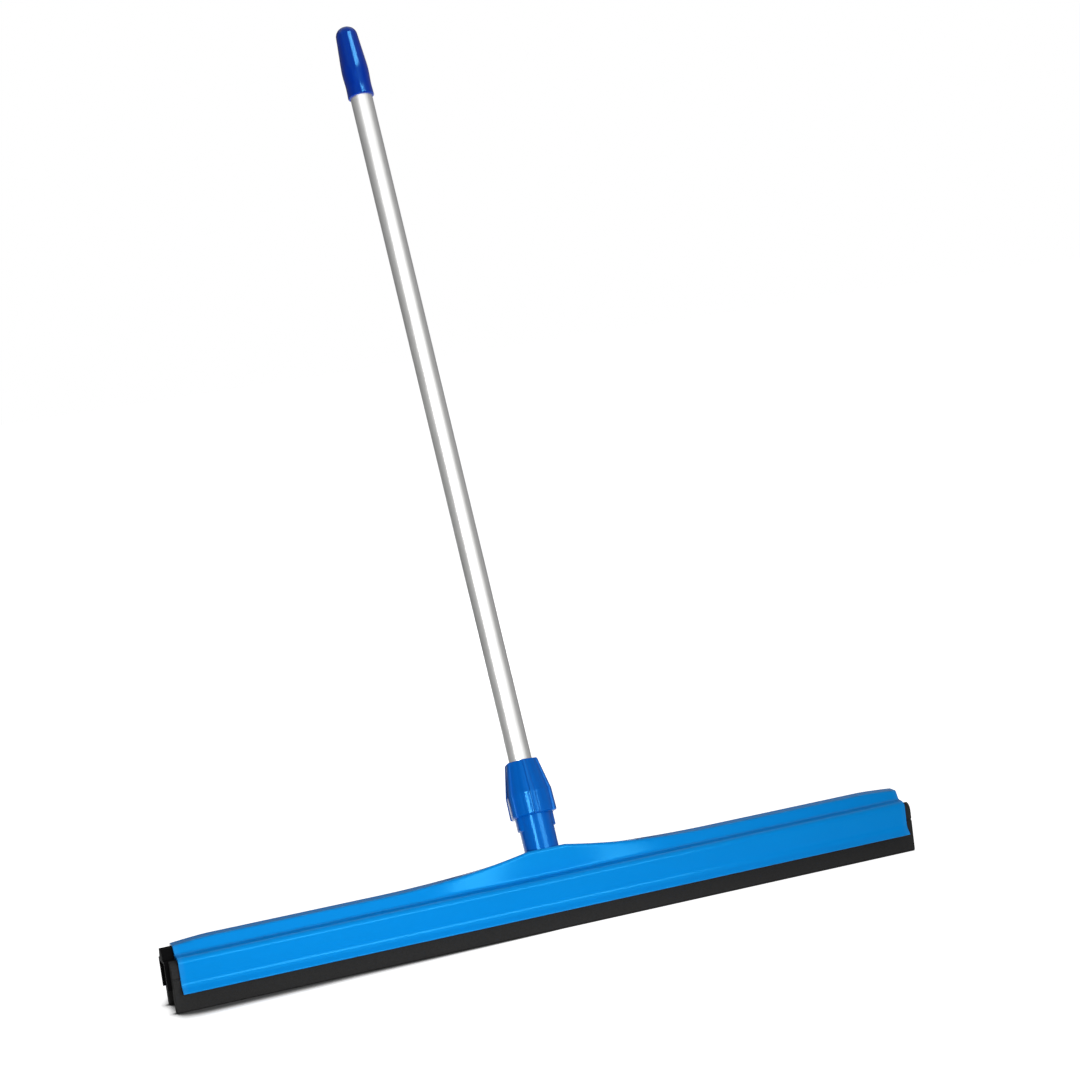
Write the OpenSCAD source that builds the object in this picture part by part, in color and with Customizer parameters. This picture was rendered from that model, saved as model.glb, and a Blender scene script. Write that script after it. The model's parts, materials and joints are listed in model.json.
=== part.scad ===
// Floor squeegee with a moulded head, a double foam blade in a slide-in cassette, a leaning
// neck with a clamping nut, and an aluminium handle with a domed grip.
// X runs along the blade, Y points to the back, Z is up, and all sizes are in millimetres.
// The origin is on the floor, midway along the blade and midway between its two lips.

/* [Blade cassette] */
// Length of the two foam strips
blade_len = 750; // [400:10:1000]
// Height of a foam strip
blade_h = 48; // [42:0.5:60]
// Thickness of a foam strip
blade_t = 9; // [6:0.5:11]
// Distance between the outer faces of the two strips
blade_spread = 43; // [40:0.5:50]
// Round on the outer top edge of a strip
blade_round = 7.5; // [1:0.5:7.5]
// Wall of the carrier between the strips
carrier_wall = 2.5; // [1.5:0.1:3.5]
// Height of the carrier's lower edge above the floor
carrier_z = 20; // [14:0.5:26]
// How much shorter the carrier is than the strips
carrier_short = 4; // [1:0.5:10]
// How far the carrier sits to the left of the strips' middle
carrier_shift = 6; // [0:0.5:8]
// Height of the carrier's crest above the strips
crest_h = 9.8; // [6:0.2:12]
// Width of the crest at its top
crest_top_w = 8.4; // [6:0.2:10]
// Width of the crest at its foot
crest_foot_w = 15; // [12:0.5:17]

/* [Head] */
// How far the strips stand out past each end of the head
blade_proud = 7; // [2:0.5:20]
// Wall of the moulding
wall = 2.5; // [2:0.1:3.5]
// Height of the skirt's lower edge above the floor
lip_z = 18.5; // [12:0.5:22]
// How far the lower edge flares out past the skirt
lip_flare = 6.6; // [2:0.2:9]
// Height of the flare
flare_h = 7; // [5:0.5:11]
// Round where the flare meets the skirt
flare_round = 9; // [3:0.5:12]
// Round on the skirt's lower edge
lip_round = 0.9; // [0.4:0.1:1.2]
// Depth of the bead inside each skirt that holds the cassette up
bead_d = 1.5; // [0.8:0.1:2]
// Height of the bead above the flare
bead_rise = 6; // [5:0.5:10]
// Round of the shoulder above the skirt
shoulder_round = 5.5; // [4:0.5:7]
// Round inside the shoulder
cavity_round = 3.3; // [1:0.1:4]
// Fall of the shelf from the groove to the shoulder
shelf_fall = 1.2; // [0:0.2:2]
// Round in the groove beside the ridge
groove_round = 3; // [1:0.5:4]
// Extra width of the ridge at its foot, each side
ridge_foot = 1.4; // [0.5:0.1:2.5]
// Thickness of the ridge above the crest's slot
ridge_roof = 4.2; // [3:0.2:6]
// Round on the ridge's top edges
ridge_round = 2.6; // [1:0.2:3]
// Drop of the ridge at each end of the head
end_drop = 2.4; // [0.5:0.1:2.8]
// Length over which the ridge drops
end_drop_len = 34; // [10:1:60]
// Length of the crown that carries the neck
crown_len = 340; // [160:10:380]
// Material round the neck in the crown
crown_margin = 1.7; // [1.5:0.1:5]

/* [Neck and nut] */
// Lean of the neck and handle back from upright
handle_lean = 20; // [0:0.5:25]
// How far below the shelf the neck's axis crosses the head's middle
axis_drop = 2.9; // [1:0.1:12]
// Outer diameter of the neck
neck_d = 33.8; // [31:0.2:35]
// Depth of the neck in the crown
neck_depth = 7.2; // [6:0.2:14]
// Least web between the crest's slot and the neck
neck_web = 0.8; // [0.6:0.1:3]
// Thickness of the socket's floor
neck_floor = 8; // [5:0.5:12]
// Length of neck in view between the crown and the nut
neck_show = 34; // [22:0.5:60]
// Diameter over the neck's thread
thread_d = 37.6; // [35.8:0.2:39]
// Length of thread in view below the nut
thread_show = 13; // [6:0.5:18]
// Round on the thread's lower edge
thread_round = 1.4; // [0.4:0.1:1.6]
// Length of the thread
thread_len = 36; // [30:0.5:42]
// Length of the lock nut
nut_len = 54; // [50:0.5:70]
// Radius of the nut's plain flanks at its foot
nut_foot_r = 22.8; // [21.4:0.1:25]
// Radius of the nut's plain flanks at its waist
nut_waist_r = 22.6; // [21.2:0.1:24]
// Radius of the nut's plain flanks at its top
nut_top_r = 16.3; // [14.8:0.1:18]
// Height of the waist above the nut's foot
nut_waist = 22; // [14:0.5:26]
// Round between the nut's lower and upper flanks
nut_waist_round = 3; // [1:0.5:8]
// Round on the nut's top rim
nut_rim_round = 1.4; // [0.5:0.1:1.6]
// Number of grip ribs on the nut
rib_count = 6; // [4:1:9]
// Angle at which the tightened nut's first rib stands
rib_turn = 24; // [0:1:60]
// Width of a grip rib at its foot
rib_w = 5.2; // [3:0.2:7]
// Width of a grip rib at its top
rib_top_w = 2.6; // [1:0.2:5]
// Height of a rib over the nut's flank at its foot and waist
rib_h = 0.9; // [0.5:0.1:2]
// Height of a rib over the nut's flank at its top
rib_top_h = 0.5; // [0.2:0.1:1]
// Length of the clamp sleeve's cone in the nut
sleeve_cone = 19; // [12:0.5:22]
// Length of the clamp sleeve's cone in the neck
sleeve_seat = 7; // [5:0.5:9]
// Thickness of the sleeve's collar
sleeve_collar = 3.4; // [2:0.2:5]
// Thickness of the sleeve at its thin ends
sleeve_t = 1.2; // [0.8:0.1:1.6]
// Thickness of the sleeve next to its collar
sleeve_thick = 4.2; // [3:0.1:4.4]
// Width of the slit in the sleeve
sleeve_slit = 2.4; // [1:0.2:4]
// Head diameter of the neck screw
screw_head_d = 6.4; // [5:0.2:7]
// Head height of the neck screw
screw_head_h = 2; // [1:0.1:2]
// Shank diameter of the neck screw
screw_d = 3.6; // [3:0.1:4]

/* [Handle] */
// Diameter of the tube
tube_d = 22.5; // [21.5:0.1:23.5]
// Wall of the tube
tube_wall = 1.2; // [0.8:0.1:2]
// Length of tube in view between the nut and the grip
tube_show = 695; // [400:5:1300]
// Length of the plug in the tube's foot
plug_len = 22; // [12:1:40]
// Thickness of the plug's flange under the tube
plug_flange = 2; // [1:0.2:4]
// Length of the grip
grip_len = 77; // [65:1:130]
// Length of the grip's solid top above the tube
grip_cap = 25; // [20:0.5:40]
// Height of the grip's waist above its lower rim
grip_waist = 12; // [6:0.5:16]
// Height of the grip's swell above its lower rim
grip_swell = 29; // [22:0.5:36]
// Radius of the curves that blend the waist and the swell
grip_blend = 100; // [20:10:140]
// Radius of the grip at its lower rim
grip_foot_r = 13.5; // [13:0.1:18]
// Radius of the grip at its waist
grip_waist_r = 13; // [12.8:0.1:18]
// Radius of the grip at its swell
grip_swell_r = 13.9; // [13.6:0.1:19]
// Radius to which the grip tapers at the top of its dome
grip_top_r = 10.4; // [10.2:0.1:14]
// Round of the dome
dome_round = 10; // [4:0.2:10]

/* [Clearances] */
// Gap between the cassette and the head
slide_gap = 0.3; // [0.2:0.05:0.6]
// Gap between the nut, its sleeve and the neck
nut_gap = 0.3; // [0.2:0.05:0.5]
// Gap between the tube and the neck's bore
tube_gap = 0.25; // [0.1:0.05:0.4]
// Gap of close fits that do not slide
seat_gap = 0.05; // [0.02:0.01:0.1]

/* [Hidden] */
$fn = 96;
arc_steps = 6;
flank_steps = 12;
past = 1;

azure = [0.01, 0.42, 0.86];
royal = [0.01, 0.29, 0.70];
black = [0.13, 0.13, 0.13];
dark_grey = [0.08, 0.08, 0.09];
silver = [0.78, 0.78, 0.77];
steel = [0.60, 0.61, 0.63];

// Half widths and heights across the cassette and the head
blade_y = blade_spread / 2;
core_y = blade_y - blade_t;
crest_z = blade_h + crest_h;
head_len = blade_len - 2 * blade_proud;
skirt_in = blade_y + slide_gap;
skirt_y = skirt_in + wall;
lip_y = skirt_y + lip_flare;
crease_z = lip_z + flare_h;
bead_z = crease_z + bead_rise;
shelf_in = blade_h + slide_gap;
shelf_z = shelf_in + wall;
groove_z = shelf_z + shelf_fall;
slot_foot_y = crest_foot_w / 2 + slide_gap;
slot_top_y = crest_top_w / 2 + slide_gap;
slot_z = crest_z + slide_gap;
ridge_foot_y = slot_foot_y + wall + ridge_foot;
ridge_top_y = slot_top_y + wall;
ridge_z = slot_z + ridge_roof;
crest_round = 1;

// Stations along the neck's axis, counted from where it crosses the head's middle
axis_z = shelf_z - axis_drop;
neck_r = neck_d / 2;
neck_hole_r = neck_r + seat_gap;
neck_from = (slot_z - axis_z + neck_web + neck_hole_r * sin(handle_lean)) / cos(handle_lean);
socket_floor = neck_from + neck_floor;
crown_s = neck_from + neck_depth;
nut_from = crown_s + neck_show;
nut_to = nut_from + nut_len;
thread_from = nut_from - thread_show;
thread_to = thread_from + thread_len;
plug_from = socket_floor + seat_gap;
tube_from = plug_from + plug_flange;
grip_from = nut_to + tube_show;
grip_to = grip_from + grip_len;
tube_to = grip_to - grip_cap;
tube_r = tube_d / 2;
tube_in_r = tube_r - tube_wall;
bore_r = tube_r + tube_gap;
thread_r = thread_d / 2;
edge = 1.2;

// Clamp sleeve between the neck's mouth and the nut
sleeve_in_r = tube_r + seat_gap;
sleeve_from = thread_to + nut_gap - sleeve_seat;
collar_from = thread_to + nut_gap;
collar_to = collar_from + sleeve_collar;
sleeve_to = collar_to + sleeve_cone;
sleeve_thin_r = sleeve_in_r + sleeve_t;
sleeve_thick_r = sleeve_in_r + sleeve_thick;
collar_r = sleeve_thick_r + edge;
nut_hole_r = sleeve_thin_r + nut_gap;

// Neck screw under the socket's floor
screw_seat = neck_from - neck_web - edge;
screw_to = socket_floor - edge;

// Crown round the neck, its top square to the neck's axis
crown_front = neck_hole_r * cos(handle_lean) - crown_s * sin(handle_lean) + crown_margin;
crown_back = neck_hole_r * cos(handle_lean) + crown_s * sin(handle_lean) + crown_margin;
crown_flat = 2 * (neck_hole_r + crown_margin);
crown_tuck = 0.5;
crown_apron = 7;

function unit(v) = v / norm(v);
function mix(a, b, f) = a + (b - a) * f;
function crown_top(y) = axis_z + (crown_s - y * sin(handle_lean)) / cos(handle_lean);

// Points of an arc of radius r that rounds the corner at p between a and b
function round_corner(a, p, b, r) =
    let (
        to_a = unit(a - p),
        to_b = unit(b - p),
        half = acos(to_a * to_b) / 2,
        centre = p + unit(to_a + to_b) * r / sin(half),
        first = p + to_a * r / tan(half) - centre,
        last = p + to_b * r / tan(half) - centre,
        start = atan2(first.y, first.x),
        turn = atan2(first.x * last.y - first.y * last.x, first * last)
    )
    [
        for (i = [0 : arc_steps])
            let (at = start + turn * i / arc_steps)
            centre + r * [cos(at), sin(at)]
    ];

// Closed outline from corners [x, y, round], where a round of 0 keeps the corner sharp
function outline(corners) =
    let (count = len(corners), flat = [for (c = corners) [c[0], c[1]]])
    [
        for (i = [0 : count - 1])
            let (before = flat[(i + count - 1) % count], after = flat[(i + 1) % count])
            each corners[i][2] == 0
                ? [flat[i]]
                : round_corner(before, flat[i], after, corners[i][2])
    ];

// Corners of one half, followed by their mirror images in reverse order
function both_halves(half) =
    concat(half, [for (i = [len(half) - 1 : -1 : 0]) [-half[i][0], half[i][1], half[i][2]]]);

// Outside of the head across the rail: lip, flare, skirt, shoulder, groove and ridge
rail_outside = both_halves([
    [lip_y, lip_z, lip_round],
    [skirt_y, crease_z, flare_round],
    [skirt_y, shelf_z, shoulder_round],
    [ridge_foot_y, groove_z, groove_round],
    [ridge_top_y, ridge_z, ridge_round]
]);

// Channel inside the head, with the beads that hold the cassette up and the crest's slot
rail_channel = both_halves([
    [lip_y - wall, lip_z - past, 0],
    [lip_y - wall, lip_z, 0],
    [skirt_in, crease_z, flare_round],
    [skirt_in, bead_z - bead_d, 0],
    [skirt_in - bead_d, bead_z, 0],
    [skirt_in, bead_z + bead_d, 0],
    [skirt_in, shelf_in, cavity_round],
    [slot_foot_y, shelf_in, 0],
    [slot_top_y, slot_z, crest_round + slide_gap]
]);

// One foam strip on the +Y side, with the groove for the bead
strip_section = [
    [core_y, 0, 0],
    [blade_y, 0, 0],
    [blade_y, bead_z - bead_d, 0],
    [blade_y - bead_d, bead_z, 0],
    [blade_y, bead_z + bead_d, 0],
    [blade_y, blade_h, blade_round],
    [core_y, blade_h, 0]
];

// Carrier: a channel that is open below, with a crest on top
carrier_section = both_halves([
    [core_y - carrier_wall, blade_h - carrier_wall, 0],
    [core_y - carrier_wall, carrier_z, 0],
    [core_y, carrier_z, 0],
    [core_y, blade_h, 0],
    [crest_foot_w / 2, blade_h, 0],
    [crest_top_w / 2, crest_z, crest_round]
]);

// Extrudes a section drawn in Y and Z along X, centred on the origin
module along_x(length) {
    rotate([90, 0, 90]) linear_extrude(height = length, center = true) children();
}

// Places what is drawn round Z on the neck's axis
module on_axis() {
    translate([0, 0, axis_z]) rotate([-handle_lean, 0, 0]) children();
}

// Turned solid on the neck's axis from corners [radius, station, round]
module turned(corners) {
    rotate_extrude() polygon(outline(corners));
}

// Share of the crown's full rise at a distance x from the neck
function crown_share(x) =
    let (t = (abs(x) - crown_flat / 2) / (crown_len / 2 - crown_flat / 2))
    pow(1 - min(max(t, 0), 1), 2);

// Section of the crown at x, from the ridge's own section to the full crown
function crown_section(x) =
    let (
        f = crown_share(x),
        foot = ridge_foot_y - crown_tuck,
        front = mix(ridge_top_y - crown_tuck, crown_front, f),
        back = mix(ridge_top_y - crown_tuck, crown_back, f),
        low = ridge_z - crown_tuck
    )
    outline([
        [-foot, shelf_z, 0],
        [-front, mix(low, crown_top(-crown_front), f), ridge_round],
        [back, mix(low, crown_top(crown_back), f), ridge_round],
        [mix(foot, skirt_y - crown_tuck, f), mix(shelf_z, shelf_z - crown_apron, f), 0]
    ]);

flank_x = [for (i = [0 : flank_steps]) mix(crown_flat / 2, crown_len / 2, i / flank_steps)];
crown_x = concat([for (i = [flank_steps : -1 : 0]) -flank_x[i]], flank_x);

// Loft through the crown's sections
module crown() {
    rings = [for (x = crown_x) [for (p = crown_section(x)) [x, p.x, p.y]]];
    size = len(rings[0]);
    last = len(rings) - 1;
    sides = [
        for (k = [0 : last - 1], i = [0 : size - 1])
            let (j = (i + 1) % size, a = k * size, b = a + size)
            each [[a + i, b + j, b + i], [a + i, a + j, b + j]]
    ];
    caps = [
        for (i = [1 : size - 2])
            each [[0, i + 1, i], [last * size, last * size + i, last * size + i + 1]]
    ];
    polyhedron([for (ring = rings) each ring], concat(sides, caps));
}

// Wedge that takes the ridge down towards the +X end of the head
module ridge_end() {
    half = head_len / 2;
    slope = end_drop / end_drop_len;
    rotate([90, 0, 0]) linear_extrude(height = 2 * skirt_y, center = true)
        polygon([
            [half - end_drop_len, ridge_z],
            [half + past, ridge_z - slope * (end_drop_len + past)],
            [half + past, ridge_z + past],
            [half - end_drop_len, ridge_z + past]
        ]);
}

module head_shell() {
    color(azure) difference() {
        union() {
            along_x(head_len) polygon(outline(rail_outside));
            crown();
        }
        along_x(head_len + 2 * past) polygon(outline(rail_channel));
        for (end = [0, 1]) mirror([end, 0, 0]) ridge_end();
        on_axis() {
            translate([0, 0, neck_from]) cylinder(r = neck_hole_r, h = neck_depth + neck_show);
            cylinder(r = screw_d / 2 + seat_gap, h = neck_from + past);
            cylinder(r = screw_head_d / 2 + slide_gap, h = screw_seat);
        }
    }
}

module neck_socket() {
    mouth_r = sleeve_thick_r + nut_gap;
    color(royal) on_axis() difference() {
        turned([
            [0, neck_from, 0],
            [neck_r, neck_from, 0],
            [neck_r, thread_from, 0],
            [thread_r, thread_from, thread_round],
            [thread_r, thread_to - edge, 0],
            [thread_r - edge, thread_to, 0],
            [0, thread_to, 0]
        ]);
        translate([0, 0, socket_floor]) cylinder(r = bore_r, h = thread_to - socket_floor + past);
        translate([0, 0, thread_to - sleeve_seat])
            cylinder(r1 = sleeve_thin_r + nut_gap, r2 = mouth_r, h = sleeve_seat);
        translate([0, 0, neck_from - past])
            cylinder(r = screw_d / 2 + seat_gap, h = screw_to - neck_from + past);
    }
}

module neck_screw() {
    color(steel) on_axis() {
        translate([0, 0, screw_seat - screw_head_h]) cylinder(d = screw_head_d, h = screw_head_h);
        translate([0, 0, screw_seat - edge]) cylinder(d = screw_d, h = screw_to - screw_seat + edge);
    }
}

module blade_carrier() {
    color(dark_grey) translate([-carrier_shift, 0, 0])
        along_x(blade_len - carrier_short) polygon(outline(carrier_section));
}

module back_blade() {
    color(black) along_x(blade_len) polygon(outline(strip_section));
}

module front_blade() {
    mirror([0, 1, 0]) back_blade();
}

// Outside of the nut from its foot to its top, raised by low at the foot and high at the top
module nut_body(low, high) {
    turned([
        [0, nut_from, 0],
        [nut_foot_r + low - edge, nut_from, 0],
        [nut_foot_r + low, nut_from + edge, 0],
        [nut_waist_r + low, nut_from + nut_waist, nut_waist_round],
        [nut_top_r + high, nut_to, nut_rim_round],
        [0, nut_to, 0]
    ]);
}

// Grip ribs, which narrow from the nut's foot to its top
module nut_ribs() {
    intersection() {
        nut_body(rib_h, rib_top_h);
        for (i = [0 : rib_count - 1])
            rotate([90, 0, 90 + rib_turn + i * 360 / rib_count])
                linear_extrude(height = 2 * nut_foot_r)
                    polygon([
                        [-rib_w / 2, nut_from],
                        [rib_w / 2, nut_from],
                        [rib_top_w / 2, nut_to],
                        [-rib_top_w / 2, nut_to]
                    ]);
    }
}

module lock_nut() {
    color(royal) on_axis() difference() {
        union() {
            nut_body(0, 0);
            nut_ribs();
        }
        translate([0, 0, nut_from - past])
            cylinder(r = thread_r + nut_gap, h = collar_to + nut_gap - nut_from + past);
        translate([0, 0, collar_to + nut_gap])
            cylinder(r1 = sleeve_thick_r + nut_gap, r2 = nut_hole_r, h = sleeve_cone);
        translate([0, 0, collar_to]) cylinder(r = nut_hole_r, h = nut_to - collar_to + past);
    }
}

module clamp_sleeve() {
    color(dark_grey) on_axis() difference() {
        turned([
            [sleeve_in_r, sleeve_from, 0],
            [sleeve_thin_r, sleeve_from, 0],
            [sleeve_thick_r, collar_from - nut_gap, 0],
            [sleeve_thick_r, collar_from, 0],
            [collar_r, collar_from, 0],
            [collar_r, collar_to, 0],
            [sleeve_thick_r, collar_to, 0],
            [sleeve_thin_r, sleeve_to, 0],
            [sleeve_in_r, sleeve_to, 0]
        ]);
        translate([-sleeve_slit / 2, 0, sleeve_from - past])
            cube([sleeve_slit, collar_r + past, sleeve_to - sleeve_from + 2 * past]);
    }
}

module handle_tube() {
    color(silver) on_axis() translate([0, 0, tube_from]) difference() {
        cylinder(r = tube_r, h = tube_to - tube_from);
        translate([0, 0, -past]) cylinder(r = tube_in_r, h = tube_to - tube_from + 2 * past);
    }
}

module tube_plug() {
    plug_r = tube_in_r - seat_gap;
    color(dark_grey) on_axis() turned([
        [0, plug_from, 0],
        [tube_r - seat_gap, plug_from, 0],
        [tube_r - seat_gap, tube_from, 0],
        [plug_r, tube_from, 0],
        [plug_r, tube_from + plug_len - edge, 0],
        [plug_r - edge, tube_from + plug_len, 0],
        [0, tube_from + plug_len, 0]
    ]);
}

module hand_grip() {
    color(royal) on_axis() difference() {
        turned([
            [0, grip_from, 0],
            [grip_foot_r, grip_from, edge],
            [grip_waist_r, grip_from + grip_waist, grip_blend],
            [grip_swell_r, grip_from + grip_swell, grip_blend],
            [grip_top_r, grip_to, dome_round],
            [0, grip_to, 0]
        ]);
        translate([0, 0, grip_from - past])
            cylinder(r = tube_r + seat_gap, h = tube_to - grip_from + past);
    }
}

head_shell();
neck_socket();
neck_screw();
blade_carrier();
front_blade();
back_blade();
lock_nut();
clamp_sleeve();
handle_tube();
tube_plug();
hand_grip();
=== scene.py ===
# %% [markdown]
# # A floor squeegee
# The real squeegee is a blue moulded head with a double strip of black foam rubber, a neck with a
# clamping nut, an aluminium tube and a domed grip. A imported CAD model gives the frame: where each
# piece sits and which body it moves with. Here every visible piece gets its finished surface, and
# the sizes that the frame already knows are read from it, so that the two never drift apart.

# %% Load the frame
import json
import math

import bmesh
import bpy
import numpy as np
from mathutils import Matrix, Vector

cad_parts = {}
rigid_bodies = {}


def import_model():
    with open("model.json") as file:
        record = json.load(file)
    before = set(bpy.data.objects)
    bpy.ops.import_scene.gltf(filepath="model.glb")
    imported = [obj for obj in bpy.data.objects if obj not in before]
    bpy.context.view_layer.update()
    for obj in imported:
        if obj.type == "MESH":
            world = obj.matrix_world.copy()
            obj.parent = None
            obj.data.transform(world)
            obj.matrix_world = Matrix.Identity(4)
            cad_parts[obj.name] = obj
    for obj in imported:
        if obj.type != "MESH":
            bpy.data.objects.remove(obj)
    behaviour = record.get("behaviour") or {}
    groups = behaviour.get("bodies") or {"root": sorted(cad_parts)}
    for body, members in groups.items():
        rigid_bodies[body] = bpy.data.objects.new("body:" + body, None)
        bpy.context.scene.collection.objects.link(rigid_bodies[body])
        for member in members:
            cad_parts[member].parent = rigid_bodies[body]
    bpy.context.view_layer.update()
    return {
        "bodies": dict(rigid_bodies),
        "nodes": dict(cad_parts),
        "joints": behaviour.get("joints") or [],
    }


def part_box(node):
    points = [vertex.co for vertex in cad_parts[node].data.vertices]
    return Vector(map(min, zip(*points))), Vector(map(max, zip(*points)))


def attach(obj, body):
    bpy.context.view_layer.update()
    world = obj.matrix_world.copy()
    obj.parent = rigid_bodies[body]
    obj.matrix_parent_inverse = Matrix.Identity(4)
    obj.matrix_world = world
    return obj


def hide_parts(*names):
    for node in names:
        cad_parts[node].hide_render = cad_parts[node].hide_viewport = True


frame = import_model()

MM = 0.001
print("bodies:", ", ".join(frame["bodies"]))

# %% [markdown]
# ## Camera
# The photograph looks down a little from the front left, and its frame is turned so that the head
# climbs to the right. A place, a point to look at and a roll say that more plainly than a matrix
# does. The lens is long, which keeps the two ends of the head nearly the same size.

# %% Camera
CAMERA_PLACE = Vector((-0.79013, -2.54540, 0.73035))
CAMERA_AIM = Vector((0.06698, 0.09371, 0.35549))
CAMERA_ROLL = math.radians(-7.6)
CAMERA_LENS = 95.14
SENSOR_WIDTH = 36

camera = bpy.data.objects.new("camera", bpy.data.cameras.new("camera"))
bpy.context.scene.collection.objects.link(camera)
camera.data.lens = CAMERA_LENS
camera.data.sensor_width = SENSOR_WIDTH
look = (CAMERA_AIM - CAMERA_PLACE).to_track_quat("-Z", "Y").to_matrix().to_4x4()
roll = Matrix.Rotation(CAMERA_ROLL, 4, "Z")
camera.matrix_world = Matrix.Translation(CAMERA_PLACE) @ look @ roll
bpy.context.scene.camera = camera
bpy.context.scene.view_settings.view_transform = "Standard"
print("camera is", round((CAMERA_AIM - CAMERA_PLACE).length, 2), "m from the point it looks at")

# %% [markdown]
# ## Writing node trees in Python
# A node tree is a set of sums, and sums read best as Python. `Wire` wraps one output socket, and
# its operators add Math nodes, so `0.2 + mask * 0.5` builds two nodes and their link. `Graph.node`
# makes any other node, for materials and for Geometry Nodes alike, and `ranged` is a short way to
# write the Map Range node.


# %% Wires and graphs
class Wire:
    """One output socket, on which sums can be written."""

    def __init__(self, graph, socket):
        self.graph = graph
        self.socket = socket

    def math(self, operation, other):
        return self.graph.node("ShaderNodeMath", {"operation": operation}, {0: self, 1: other})

    def __add__(self, other):
        return self.math("ADD", other)

    def __mul__(self, other):
        return self.math("MULTIPLY", other)

    def __truediv__(self, other):
        return self.math("DIVIDE", other)

    __radd__ = __add__
    __rmul__ = __mul__


class Graph:
    """A node tree that is filled by its methods."""

    def __init__(self, tree):
        self.tree = tree

    def node(self, kind, settings=None, inputs=None, output=0):
        made = self.tree.nodes.new(kind)
        for key, value in (settings or {}).items():
            setattr(made, key, value)
        for key, value in (inputs or {}).items():
            self.join(value, made.inputs[key])
        return Wire(self, made.outputs[output])

    def join(self, value, socket):
        if isinstance(value, Wire):
            self.tree.links.new(value.socket, socket)
        else:
            socket.default_value = value

    def ranged(self, value, start, end, first, last, kind="LINEAR"):
        """Maps value from start and end to first and last, and holds it beyond them."""
        return self.node("ShaderNodeMapRange", {"interpolation_type": kind}, {
            "Value": value, "From Min": start, "From Max": end, "To Min": first, "To Max": last})


# %% [markdown]
# ## Stage and light
# A product photograph like this one is lit by soft boxes in front and stands on white. The floor is
# a pale diffuse surface, so it keeps the shadow under the strips. A little light of its own, which
# only camera, glossy and transmitted rays see, lifts it to white without lighting the squeegee. The
# lift grows with the distance, because the lamps reach less of the floor there, and it fades at the
# foot of the strips, so that their contact shadow stays. There the floor's own colour is also made
# darker, which is a painted contact shadow. An Ambient Occlusion node finds what stands close by,
# so the fade and the painted shadow go with the strips when they are slid out. Its reach is widest
# at the left end of the head, as in the photograph, and drops past it. The world glows for the same
# rays, which whitens the space above the floor.


# %% Pieces of the stage
def seen_directly(graph):
    """1 for rays that come straight from the camera, a mirror or glass, and 0 for the rest."""
    names = ("Is Camera Ray", "Is Glossy Ray", "Is Transmission Ray")
    rays = [graph.node("ShaderNodeLightPath", output=name) for name in names]
    return graph.node("ShaderNodeClamp", None, {"Value": rays[0] + rays[1] + rays[2]})


def stage_object(name, points, faces):
    """A matt object of the stage that can glow, with its graph and its shader."""
    mesh = bpy.data.meshes.new(name)
    mesh.from_pydata(points, [], faces)
    obj = bpy.data.objects.new(name, mesh)
    bpy.context.scene.collection.objects.link(obj)
    material = bpy.data.materials.new(name)
    material.use_nodes = True
    mesh.materials.append(material)
    shader = material.node_tree.nodes["Principled BSDF"]
    shader.inputs["Specular IOR Level"].default_value = 0.0
    shader.inputs["Emission Strength"].default_value = 1.0
    return obj, Graph(material.node_tree), shader


# %% Floor
FLOOR_HALF = 8
FLOOR_Z = -0.0004
FLOOR_GREY = 0.80
LIFT_FROM, LIFT_TO = 0.5, 1.6
LIFT_NEAR, LIFT_FAR = 0.85, 0.98
REACH_FROM, REACH_TO = -0.375, 0.0
REACH_LEFT, REACH_RIGHT = 0.034, 0.001
END_FROM, END_TO, END_SHARE = -0.388, -0.372, 0.1
SHADE_SAMPLES = 16
WALL_OPEN = 0.5
# share of the floor's grey that the painted contact shadow leaves where it is darkest
PAINTED_CONTACT_SHADE = 0.20

corners = ((-1, -1), (1, -1), (1, 1), (-1, 1))
sheet = [(x * FLOOR_HALF, y * FLOOR_HALF, FLOOR_Z) for x, y in corners]
_, paper, paper_shader = stage_object("floor", sheet, [(0, 1, 2, 3)])
paper_shader.inputs["Roughness"].default_value = 1.0

on_floor = paper.node("ShaderNodeTexCoord", output="Object")
from_middle = paper.node("ShaderNodeVectorMath", {"operation": "LENGTH"}, {0: on_floor}, "Value")
along_head = paper.node("ShaderNodeSeparateXYZ", None, {"Vector": on_floor}, "X")
white = paper.ranged(from_middle, LIFT_FROM, LIFT_TO, LIFT_NEAR, LIFT_FAR)
reach = paper.ranged(along_head, REACH_FROM, REACH_TO, REACH_LEFT, REACH_RIGHT)
past_end = paper.ranged(along_head, END_FROM, END_TO, END_SHARE, 1.0)
openness = paper.node("ShaderNodeAmbientOcclusion", {"samples": SHADE_SAMPLES},
                      {"Distance": reach * past_end}, "AO")
clear = paper.ranged(openness, WALL_OPEN, 1.0, 0.0, 1.0, "SMOOTHSTEP")
# painted contact shadow: the floor's own colour is darkened where the strips stand close by
pale = (clear * (1 - PAINTED_CONTACT_SHADE) + PAINTED_CONTACT_SHADE) * FLOOR_GREY
paper.join(pale, paper_shader.inputs["Base Color"])
paper.join(white * clear * seen_directly(paper), paper_shader.inputs["Emission Color"])
print("floor of", 2 * FLOOR_HALF, "m")

# %% World
AMBIENT = 0.12

world = bpy.data.worlds.new("studio")
bpy.context.scene.world = world
world.use_nodes = True
air = Graph(world.node_tree)
background = world.node_tree.nodes["Background"]
background.inputs["Color"].default_value = (1, 1, 1, 1)
air.join(seen_directly(air) * (1 - AMBIENT) + AMBIENT, background.inputs["Strength"])
print("ambient light", AMBIENT)

# %% [markdown]
# A soft box lights a piece and also shows in its gloss as a pale shape. The photograph wants
# another place for each of the two, so most boxes here do one of them: a lamp that glossy rays
# don't see only lights, and one that diffuse rays don't see only shows. The strips make the thin
# lines on the lip, the neck, the nut and the grip. The panel behind keeps the back from going dark.


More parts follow.
